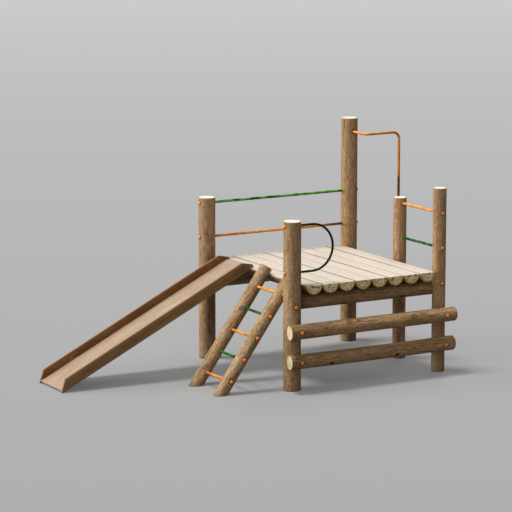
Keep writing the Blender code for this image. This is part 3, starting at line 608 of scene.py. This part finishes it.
climbing = {"y": -0.120, "upperZ": 0.563, "lowerZ": 0.288}
frontSeatY = climbing["y"] - seatDepth["log"]
boltSeats = {                           # x, y, z and the way each cap faces along y
    "beam_bolt_front_left": (0.0, -seatDepth["post"], 0.7817, -1),
    "beam_bolt_front_right": (right, -seatDepth["slimPost"], 0.8467, -1),
    "beam_bolt_back_left": (0.0, back + seatDepth["post"], 0.7987, 1),
    "beam_bolt_back_right": (right, back + seatDepth["post"], 0.7987, 1),
    "log_bolt_upper_left": (0.0, frontSeatY, climbing["upperZ"], -1),
    "log_bolt_upper_right": (right - 0.018, frontSeatY, climbing["upperZ"], -1),
    "log_bolt_lower_left": (0.0, frontSeatY, climbing["lowerZ"], -1),
    "log_bolt_lower_right": (right - 0.030, frontSeatY, climbing["lowerZ"], -1),
}
for node, (x, y, z, facing) in boltSeats.items():
    words = node.split("_")
    domedCap(words[0] + "Cap" + words[2].capitalize() + words[3].capitalize(), node, (x, y, z),
             (0, facing, 0))
print("bars and caps made")


def rowsAlong(length, ease, radius, inner, steps, count):
    # Rows from one cut end to the other: discs of the inner shares, a quarter circle round the eased rim,
    # and count rows at full width between. Returns each row's place and its share of the full width.
    share, arc = ease / radius, np.linspace(0, np.pi / 2, steps)
    width = np.concatenate((np.array(inner) * (1 - share), 1 - share + share * np.sin(arc)))
    place = np.concatenate((np.zeros(len(inner)), ease * (1 - np.cos(arc))))
    middle = np.linspace(ease, length - ease, count + 2)[1:-1]
    return (np.concatenate((place, middle, length - place[::-1]))[:, None],
            np.concatenate((width, np.ones(count), width[::-1]))[:, None])


def wayTo(shape, spots, limit):
    # Each vertex's way to the nearest of the spots, given by their ways round and along, held within limit.
    way = np.full((*shape, 3), limit)
    way[..., 2] = 0.0
    nearest = np.full(shape, 99.0)
    for round_, along in spots:
        away = np.hypot(round_, along)
        closer = away < nearest
        nearest = np.where(closer, away, nearest)
        for i, part in enumerate((round_, along)):
            way[..., i] = np.where(closer, np.clip(part, -limit, limit), way[..., i])
    return way


def turnFrom(u, angle):
    # the least turn from an angle to each u
    return (u - angle + np.pi) % (2 * np.pi) - np.pi


plainLog = {                            # what a log is like unless its own dictionary says otherwise
    "made": logPine, "endMaterial": sawnLogEnd, "ease": 0.004, "columns": 88, "step": 0.012,
    "full": -0.006, "taper": 0.0, "bow": 0.0, "skew": 0.0, "roughEnds": (0.0, 0.0), "groundCut": False,
    "knots": (), "knotLength": 1.45, "footDamp": 0.0, "headShade": 0.0, "topShade": 0.0,
}


def roundLog(name, node, log):
    # A circle of slowly changing radius carried along a straight line, with both ends closed by discs.
    # Point(u, s) = start + axis * s + (side * cos u + up * sin u) * radius * profile(s) * (1 + uneven(u, s)),
    # where uneven adds an oval, a three-sided part and a slow swell that turn slowly along the log.
    log = {**plainLog, **log}
    start, end = np.array(log["start"], dtype=float), np.array(log["end"], dtype=float)
    length = np.linalg.norm(end - start)
    axis = (end - start) / length
    side, up = across(axis)
    radius, ease = log["radius"], log["ease"]
    local = np.random.default_rng(log["seed"])
    phase = local.uniform(0, 2 * np.pi, 6)
    offset = local.uniform(1, 60)
    u = np.linspace(0, 2 * np.pi, log["columns"], endpoint=False)[None, :]
    s, profile = rowsAlong(length, ease, radius, (0.2, 0.45, 0.7, 0.88), 5,
                           int((length - 2 * ease) / log["step"]))
    shape = (len(s), log["columns"])
    uneven = (0.006 * np.cos(2 * u + phase[0] + 1.1 * s) + 0.005 * np.cos(3 * u + phase[1] - 0.8 * s)
              + 0.006 * np.sin(2.3 * s + phase[2]) + 0.0025 * np.cos(7 * u + phase[3] + 3.0 * s)
              + log["taper"] * (s / length - 0.5)) + log["full"]
    # an end that was chopped and chamfered by hand: the rim loses a little, unevenly
    chipped = (np.cos(3 * u + phase[4]) + np.cos(5 * u + phase[5]) + np.cos(9 * u + phase[0])) / 3
    for loss, fromEnd in zip(log["roughEnds"], (s, length - s)):
        uneven = uneven - loss * (0.6 + 0.4 * chipped) * np.exp(-(fromEnd / 0.012) ** 2)
    # knots: the way to the nearest in knot radii, a slight swell over each, and fibres that flow round it
    knots = [(turnFrom(u, math.radians(angle)) * radius / size, (s - middle) / (size * log["knotLength"]),
              size) for angle, middle, size in log["knots"]]
    fibreTurn = np.zeros(shape)
    for du, ds, size in knots:
        uneven = uneven + 0.10 * size / radius * np.exp(-np.hypot(du, ds) ** 2 / 1.5)
        fibreTurn += (np.sign(du) * size / radius * (1 - np.exp(-np.abs(du) * 1.5))
                      * np.exp(-np.abs(du) / 2.2 - (ds / 1.6) ** 2))
    knotWay = wayTo(shape, [(du, ds) for du, ds, size in knots], 9.0)
    rho = radius * profile * (1 + uneven)
    x, y = rho * np.cos(u), rho * np.sin(u)
    # a leaning log is cut flat at the ground: s moves by -y * up.z / axis.z at the foot and by nothing
    # at the top
    slant = -y * up[2] / axis[2] * (1 - s / length) if log["groundCut"] else np.zeros_like(y)
    # saw cuts aren't quite square, and a log may be a little bowed
    along = s + (slant + log["skew"] * x * np.exp(-s / 0.15))
    bow = log["bow"] * (1 - (2 * s / length - 1) ** 2)
    grid = start + axis * along[..., None] + side * x[..., None] + up * (y + bow)[..., None]
    pith = local.uniform(-0.12, 0.12, 2) * radius
    grain = np.stack((rho * np.cos(u - fibreTurn) + pith[0], rho * np.sin(u - fibreTurn) + pith[1],
                      along + offset), axis=-1)
    # fittings: the way in metres to the nearest cap or bar that meets this log's surface
    spots = []
    for spot in fittings:
        away = np.asarray(spot) - start
        height = away.dot(axis)
        rest = away - axis * height
        if -0.02 < height < length + 0.02 and 0.75 * radius < np.linalg.norm(rest) < 1.04 * radius:
            angle = math.atan2(rest.dot(up), rest.dot(side))
            spots.append((turnFrom(u, angle) * radius, along - height))
    # darker at the feet from damp, and painted shade at the log's near end and along its top
    dampAndShade = (log["footDamp"] * np.exp(-along / 0.07) + log["headShade"] * np.exp(-(along / 0.22) ** 2)
            + log["topShade"] * np.clip((np.sin(u) - 0.15) / 0.45, 0, 1))
    return makePiece(name, node, grid, [log["made"], log["endMaterial"]], endRows=4, smooth=50,
                     attributes={"grain": grain, "knot": knotWay, "fitting": wayTo(shape, spots, 0.2),
                                 "rim": np.broadcast_to(profile, shape), "dampAndShade": dampAndShade})


def scatterKnots(seed, length, count):
    # a few knots on the back, well spread along the log, 7 to 15 mm in radius: the fronts are clear wood
    local = np.random.default_rng(seed)
    along = (np.arange(count) + local.uniform(0.2, 0.8, count)) * length / count
    angle, size = local.uniform(-20, 130, count), local.uniform(0.007, 0.015, count)
    return list(zip(angle.tolist(), along.tolist(), size.tolist()))


posts = {
    "FrontLeft": {"node": "post_front_left", "at": (0.0, 0.0), "radius": 0.080, "height": 1.567, "seed": 3},
    "BackLeft": {"node": "post_back_left", "at": (0.0, back), "radius": 0.080, "height": 1.567, "seed": 5},
    "BackRight": {"node": "post_back_right", "at": (right, back), "radius": 0.080, "height": 2.230,
                  "seed": 7},
    "FrontRight": {"node": "post_front_right", "at": (right, 0.0), "radius": 0.0625, "height": 1.749,
                   "seed": 11},
    "MiddleRight": {"node": "post_middle_right", "at": (right, site["middlePostY"]), "radius": 0.0625,
                    "height": 1.567, "seed": 13},
}
for label, post in posts.items():
    roundLog("roundPost" + label, post["node"], {
        "start": (*post["at"], 0.0), "end": (*post["at"], post["height"]), "radius": post["radius"],
        "seed": post["seed"], "ease": 0.005, "full": 0.006, "made": pine, "endMaterial": sawnTop,
        "footDamp": 0.2, "knots": scatterKnots(post["seed"], post["height"], 6)})

climbingLog = {"radius": 0.067, "ease": 0.003, "skew": 0.14, "full": 0.008, "roughEnds": (-0.035, 0.015),
               "headShade": 0.35}
# a knot is its angle round the log in degrees, its place along it and its radius
logs = {
    "frontBeam": {
        "node": "beam_front", "start": (0.004, 0.080, 0.8117), "end": (1.630, 0.080, 0.8117), "radius": 0.083,
        "seed": 17, "made": lowClimbPine, "topShade": 0.25, "headShade": 0.6,
        "knots": [(226, 0.566, 0.014), (226, 1.206, 0.015), (10, 0.95, 0.008), (40, 0.4, 0.012)]},
    "backBeam": {
        "node": "beam_back", "start": (-0.030, 1.520, 0.7987), "end": (1.630, 1.520, 0.7987), "radius": 0.096,
        "seed": 19, "topShade": 0.8, "knots": scatterKnots(19, 1.66, 5)},
    "upperClimbingLog": {
        **climbingLog, "node": "climbing_log_upper", "start": (-0.096, climbing["y"], climbing["upperZ"]),
        "end": (1.694, climbing["y"], climbing["upperZ"]), "seed": 23, "made": climbPine,
        "knots": [(132, 0.608, 0.018), (148, 1.312, 0.018), (20, 0.95, 0.008), (330, 0.5, 0.012),
                  (20, 1.1, 0.011)]},
    "lowerClimbingLog": {
        **climbingLog, "node": "climbing_log_lower", "start": (-0.096, climbing["y"], climbing["lowerZ"]),
        "end": (1.678, climbing["y"], climbing["lowerZ"]), "seed": 29, "made": lowClimbPine,
        "taper": 0.02, "bow": -0.004,
        "knots": [(212, 0.420, 0.015), (206, 1.124, 0.013), (330, 0.78, 0.007), (20, 0.6, 0.012),
                  (350, 1.4, 0.012)]},
}
stringer = {"length": 1.28466, "radius": 0.060, "ease": 0.006, "groundCut": True, "footDamp": 0.15}
stringers = {
    "Right": {"y": nearStringer, "seed": 31,
              "knots": [(150, 0.185, 0.010), (20, 0.9, 0.012), (300, 0.35, 0.011)]},
    "Left": {"y": farStringer, "seed": 37,
             "knots": [(144, 0.836, 0.015), (134, 0.208, 0.018), (330, 0.6, 0.010)]},
}
for label, own in stringers.items():
    start = ladderFoot + (0.0, own["y"], 0.0)
    logs["ladderStringer" + label] = {**stringer, **own, "node": "ladder_stringer_" + label.lower(),
                                      "start": start, "end": start + ladderAxis * stringer["length"]}
for name, log in logs.items():
    roundLog(name, log["node"], log)
print("round timber made")


deck = {
    "count": 8, "radius": 0.086, "pitch": 0.176, "front": -0.090, "back": 1.605, "ease": 0.004,
    "endEase": 0.003,
    "dirtRows": (0.0065, 0.009),        # how far in from the arris the dirt of the joints ends
    "swell": 0.012,                     # half of what the round side loses at most, as a share of the radius
    "runs": ((back, 0.24), (site["middlePostY"], 0.15)),    # y and width of the tan runs at two posts' feet
}


def halfRound(number):
    # Half a disc carried from front to back: x = radius * cos t, z = radius * sin t over the lower half turn,
    # closed by a flat top with eased corners. Rows near the ends shrink about the section's middle.
    radius, ease = deck["radius"], deck["ease"]
    local = np.random.default_rng(100 + number)
    first = math.asin(ease / radius)
    t = np.linspace(np.pi + first, 2 * np.pi - first, 40)
    low = np.stack((radius * np.cos(t), radius * np.sin(t)), axis=-1)
    t = np.linspace(0, np.pi / 2, 4)[1:]
    corner = np.stack((radius - ease + ease * np.cos(t), -ease + ease * np.sin(t)), axis=-1)
    dirtRows = radius - np.array(deck["dirtRows"])
    topX = np.concatenate((dirtRows, np.linspace(radius - ease, -radius + ease, 14)[1:-1], -dirtRows[::-1]))
    top = np.stack((topX, np.zeros(len(topX))), axis=-1)
    loop = np.vstack((low, corner, top, corner[::-1] * (-1, 1)))
    centre = np.array((0.0, -0.42 * radius))
    spread = loop - centre
    s, share = rowsAlong(deck["back"] - deck["front"], deck["endEase"], radius, (0.25, 0.5, 0.75, 0.9), 4, 68)
    # the round side keeps the swell of the log
    phase = local.uniform(0, 6.28, 3)
    angle = np.arctan2(spread[:, 1], spread[:, 0])[None, :]
    below = np.clip(-loop[None, :, 1] / radius, 0, 1)
    swell = 1 - deck["swell"] * below * (1 + np.sin(3 * angle + phase[0] + 2 * s))
    x = centre[0] + spread[None, :, 0] * share * swell
    z = centre[1] + spread[None, :, 1] * share * swell
    grid = np.empty((*x.shape, 3))
    grid[..., 0] = site["deckLeft"] + radius + number * deck["pitch"] + x
    grid[..., 1] = deck["front"] + s
    grid[..., 2] = site["deckTop"] - local.uniform(0, 0.0006) + z
    grain = np.empty(grid.shape)
    grain[..., 0] = x + local.uniform(-0.012, 0.012)
    grain[..., 1] = z + local.uniform(-0.006, 0.006)
    grain[..., 2] = s + local.uniform(1, 60)
    # the rim on the top is its two long edges, where dirt has settled in every second joint more than in
    # the others, and on the ends it grows towards the outline
    joint = number + (x > 0)
    dirt = 0.35 + 0.65 * (joint % 2) * (0.65 + 0.35 * np.sin(3.1 * s + 2.4 * joint))
    edge = np.clip((np.abs(x) - radius + deck["dirtRows"][1]) / 0.0025, 0, 1) * (z > -0.006) * dirt
    rim = np.where(share < 1, share * np.clip(-loop[None, :, 1] / radius * 1.5 + 0.75, 0, 1), edge)
    # painted shade: the round side darkens downwards under the deck
    dampAndShade = np.broadcast_to(0.75 * np.clip((-loop[None, :, 1] - 0.004) / 0.03, 0, 1), x.shape)
    stain = np.full(x.shape, local.uniform(0.0, 0.08))
    for postY, width in deck["runs"]:
        stain = stain + 0.85 * np.exp(
            -((grid[..., 0] - right) ** 2 + (grid[..., 1] - postY) ** 2) / width ** 2)
    away = wayTo(x.shape, (), 9.0)      # no knots and no fittings here
    label = str(number + 1)
    columnSlot = np.where(np.arange(len(loop)) < len(low), 2, 0)
    return makePiece("deckHalfRound" + label, "half_round_" + label, grid,
                     [deckPine, sawnHalfEnd, pine], endRows=7, columnSlot=columnSlot, smooth=35,
                     attributes={"grain": grain, "rim": rim, "knot": away, "fitting": away, "dampAndShade": dampAndShade,
                                 "stain": stain})


for number in range(deck["count"]):
    halfRound(number)
print("deck made")


slide = {
    "nearY": 0.935, "width": 0.475, "cheek": 0.022, "cheekHeight": 0.104, "lift": 0.015, "bed": 0.014,
    "groove": 0.008, "bendX": 0.0968, "bendZ": 0.9733, "angle": math.radians(26), "ease": 0.003,
    "toeX": -1.8845431, "footX": -1.8645431, "bedToe": 0.012, "lip": 0.045,
    "headReach": 0.033, "headRun": 0.120, "headDrop": 0.022, "headCorner": 0.008,   # the cheeks' upper ends
    "toeRise": 0.042, "toeRun": 0.030,                                              # and their lower ends
}


def bedPoint(x, offset):
    # a point of the line that runs offset above the bed's lower face, square to it
    height = (slide["bendZ"] + (x - slide["bendX"]) * math.tan(slide["angle"])
              + offset / math.cos(slide["angle"]))
    return x, height


def ruledBoard(name, node, lower, upper, lowY, highY, made, isBed=False):
    # A rounded rectangle whose foot follows one line and whose head follows another:
    # Point(i, j) = lower(i) + direction(i) * (offset(j) + share(j) * height(i)), with its own y(j).
    reach = upper - lower
    height = np.linalg.norm(reach, axis=1)
    direction = reach / height[:, None]
    ease = min(slide["ease"], 0.45 * height.min())
    t = np.linspace(0, np.pi / 2, 4)
    cos, sin = ease * np.cos(t), ease * np.sin(t)
    rise = np.linspace(0, 1, 7)[1:-1]
    yRun = np.linspace(lowY + ease, highY - ease, 10 if isBed else 3)[1:-1]
    flat, none, full = np.zeros(len(yRun)), np.zeros(4), np.ones(4)
    y = np.concatenate((lowY + ease - sin, np.full(5, lowY), lowY + ease - cos, yRun,
                        highY - ease + sin, np.full(5, highY), highY - ease + cos, yRun[::-1]))
    offset = np.concatenate((ease - cos, ease * (1 - 2 * rise), -ease + sin, flat,
                             -ease + cos, ease * (1 - 2 * rise[::-1]), ease - sin, flat))
    share = np.concatenate((none, rise, full, flat + 1, full, rise[::-1], none, flat))
    level = offset[None, :] + share[None, :] * height[:, None]
    # end rows: the loop shrinks by the easing about its middle, and the rows next to them step back by it
    middleY = (lowY + highY) / 2
    endY = middleY + (y - middleY) * ((highY - lowY - 2 * ease) / (highY - lowY))
    ends = [height[i] / 2 + (level[i] - height[i] / 2) * (1 - 2 * ease / height[i]) for i in (0, -1)]
    ys = np.vstack((endY, np.broadcast_to(y, level.shape), endY))
    level = np.vstack((ends[0], level, ends[1]))
    foot = np.vstack((lower[:1], lower, lower[-1:]))
    foot[1] += unit(lower[1] - lower[0]) * ease
    foot[-2] -= unit(lower[-1] - lower[-2]) * ease
    heading = np.vstack((direction[:1], direction, direction[-1:]))
    x, z = (foot[:, i, None] + heading[:, i, None] * level for i in (0, 1))
    # grain runs along the slope
    cos, sin = math.cos(slide["angle"]), math.sin(slide["angle"])
    sideways = (ys, z * cos - x * sin) if isBed else (z * cos - x * sin, ys)
    grain = np.stack((*sideways, x * cos + z * sin + rng.uniform(1, 60)), axis=-1)
    for i in (0, 1):
        grain[..., i] -= grain[..., i].mean()
    # the cheeks are worn along their upper edges
    isTop = (offset <= 0) * (np.abs(y - middleY) < (highY - lowY) / 2 - gap)
    rim = np.broadcast_to(share * 0 if isBed else share * isTop, level.shape)
    return makePiece(name, node, np.stack((x, ys, z), axis=-1), [made],
                     attributes={"grain": grain, "rim": rim}, smooth=35)


def cornerLine(corners, counts):
    # straight runs through the corners, each of evenly spaced points from its first corner up to the next
    corners = np.array(corners)
    runs = [low + (high - low) * np.linspace(0, 1, count, endpoint=False)[:, None]
            for low, high, count in zip(corners, corners[1:], counts)]
    return np.vstack((*runs, corners[-1:]))


stepX = site["deckLeft"] - gap
headX = site["deckLeft"] + slide["headReach"]
topOffset = slide["cheekHeight"] - slide["lift"]
apex = bedPoint(headX - slide["headRun"], topOffset)
cornerX, cornerZ = headX - slide["headCorner"], apex[1] - slide["headDrop"]
shoulder = np.array(apex) * 0.75 + np.array((cornerX, cornerZ)) * 0.25
toeTopX = slide["toeX"] + slide["toeRise"]
# rows of the toe, the slope, the step or shoulder, the head and its corner
cheekCounts = (3, 90, 3, 4, 2)
lowerLine = cornerLine(((slide["toeX"], 0.0), (slide["footX"], 0.0), bedPoint(stepX, -slide["lift"]),
                        (stepX, slide["bendZ"]), (cornerX, slide["bendZ"]), (headX, slide["bendZ"])),
                       cheekCounts)
upperLine = cornerLine((bedPoint(toeTopX, topOffset), bedPoint(toeTopX + slide["toeRun"], topOffset), apex,
                        shoulder, (cornerX, cornerZ), (headX, cornerZ - slide["headCorner"])), cheekCounts)
farY = slide["nearY"] + slide["width"]
# the near cheek's paler board is painted light
ruledBoard("slideCheekNear", "slide_cheek_near", lowerLine, upperLine,
           slide["nearY"], slide["nearY"] + slide["cheek"], nearCheekBoard)
ruledBoard("slideCheekFar", "slide_cheek_far", lowerLine, upperLine,
           farY - slide["cheek"], farY, cheekBoard)

bedToeX, lipX = slide["toeX"] + slide["bedToe"], site["deckLeft"] + slide["lip"]
topZ = slide["bendZ"] + slide["bed"]
bendTopX = slide["bendX"] + (topZ - bedPoint(slide["bendX"], slide["bed"])[1]) / math.tan(slide["angle"])
bedLower = cornerLine((bedPoint(bedToeX, 0.0), (slide["bendX"], slide["bendZ"]), (lipX, slide["bendZ"])),
                      (90, 6))
bedUpper = cornerLine((bedPoint(bedToeX, slide["bed"]), (bendTopX, topZ), (lipX, topZ)), (90, 6))
inset = slide["cheek"] - slide["groove"]
ruledBoard("slideBed", "slide_bed", bedLower, bedUpper,
           slide["nearY"] + inset, farY - inset, bedBoard, isBed=True)
print("slide made")


studio = {
    # the floor's greys along its way to the back, which runs from fadeFrom to fadeTo metres
    "floorFade": ((0.06, "9F9F9F"), (0.25, "A5A5A5"), (0.46, "AAAAAA"), (0.98, "B9B9B9")),
    "fadeWay": (0.499, 0.867, 0.0), "fadeFrom": -8.0, "fadeTo": 42.0, "floorReach": 120.0,
    "floorGlow": 0.30,                  # part of the floor's grey that the camera sees free of shadow
    "floorBounce": 0.5,                 # how much of the floor's grey lights the object from below
    "backdrop": "CBCBCB", "backdropStrength": 1.0, "ambient": 0.08, "lampColour": "FFFFFF",
    "lens": 187.98, "sensor": 36.0, "clipEnd": 300,
    "cameraPlace": (-12.2436, -21.2558, 5.5910), "azimuth": -29.93, "elevation": 10.32,
}
lamps = {
    # a high key throws the shadow under the platform, and a low side lamp lights the posts from the left
    "key": {"toward": (-0.880, 0.475), "elevation": 75, "strength": 2.68, "spread": 14},
    "side": {"toward": (-0.880, 0.475), "elevation": 12.5, "strength": 1.86, "spread": 28},
    "fill": {"toward": (-0.80, -0.60), "elevation": 38, "strength": 0.86, "spread": 50},
    "back": {"toward": (0.75, 0.66), "elevation": 48, "strength": 0.50, "spread": 30},
}

floorMaterial, tree = newMaterial("paleStudioFloor")
place = addNode(tree, "TexCoord", {}, out=3)
distance = addNode(tree, "VectorMath", {"operation": "DOT_PRODUCT", 0: place, 1: studio["fadeWay"]}, out=1)
fade = addNode(tree, "MapRange", {
    "Value": distance, "From Min": studio["fadeFrom"], "From Max": studio["fadeTo"]})
floorColour = addNode(tree, "ValToRGB", {"Fac": fade}, studio["floorFade"])
paper = addNode(tree, "BsdfPrincipled", {
    "Base Color": floorColour, "Roughness": 0.9, "Specular IOR Level": 0.1})
glow = addNode(tree, "Emission", {"Color": floorColour})
shown = addNode(tree, "MixShader", {0: studio["floorGlow"], 1: paper, 2: glow})
bounce = addNode(tree, "Mix", {"data_type": "RGBA", "blend_type": "MULTIPLY", 0: 1.0, 6: floorColour,
                               7: (studio["floorBounce"],) * 3 + (1.0,)}, out=2)
lit = addNode(tree, "BsdfDiffuse", {"Color": bounce})
rays = addNode(tree, "LightPath", {}).node.outputs
shader = addNode(tree, "MixShader", {0: rays["Is Camera Ray"], 1: lit, 2: shown})
addNode(tree, "OutputMaterial", {"Surface": shader})
floorMesh = bpy.data.meshes.new("studioFloor")
reach = studio["floorReach"]
floorMesh.from_pydata([(-reach, -reach, 0), (reach, -reach, 0), (reach, reach, 0), (-reach, reach, 0)],
                      [], [(0, 1, 2, 3)])
floorMesh.materials.append(floorMaterial)
floor = bpy.data.objects.new("studioFloor", floorMesh)
bpy.context.scene.collection.objects.link(floor)

world = bpy.data.worlds.new("studioWorld")
world.use_nodes = True
tree = world.node_tree
tree.nodes.clear()
rays = addNode(tree, "LightPath", {}).node.outputs
seen = rays["Is Camera Ray"]
for key in ("Is Glossy Ray", "Is Transmission Ray"):
    seen = addNode(tree, "Math", {"operation": "MAXIMUM", 0: seen, 1: rays[key]})
ambient = addNode(tree, "Background", {"Color": studio["lampColour"], "Strength": studio["ambient"]})
backdrop = addNode(tree, "Background", {"Color": studio["backdrop"], "Strength": studio["backdropStrength"]})
both = addNode(tree, "MixShader", {0: seen, 1: ambient, 2: backdrop})
addNode(tree, "OutputWorld", {"Surface": both})
bpy.context.scene.world = world

for name, lamp in lamps.items():
    light = bpy.data.lights.new(name + "Lamp", "SUN")
    light.energy = lamp["strength"]
    light.angle = math.radians(lamp["spread"])
    light.color = linearColour(studio["lampColour"])[:3]
    holder = bpy.data.objects.new(name + "Lamp", light)
    x, y = lamp["toward"]
    holder.rotation_euler = (0.0, math.radians(90 - lamp["elevation"]), math.atan2(y, x))
    holder.location = (x * 6, y * 6, 8)
    bpy.context.scene.collection.objects.link(holder)

cameraData = bpy.data.cameras.new("photoCamera")
cameraData.lens = studio["lens"]
cameraData.sensor_width = studio["sensor"]
cameraData.clip_end = studio["clipEnd"]
camera = bpy.data.objects.new("photoCamera", cameraData)
camera.location = studio["cameraPlace"]
camera.rotation_euler = (math.radians(90 - studio["elevation"]), 0.0, math.radians(studio["azimuth"]))
bpy.context.scene.collection.objects.link(camera)
bpy.context.scene.camera = camera
bpy.context.scene.view_settings.view_transform = "Standard"
print("studio made")
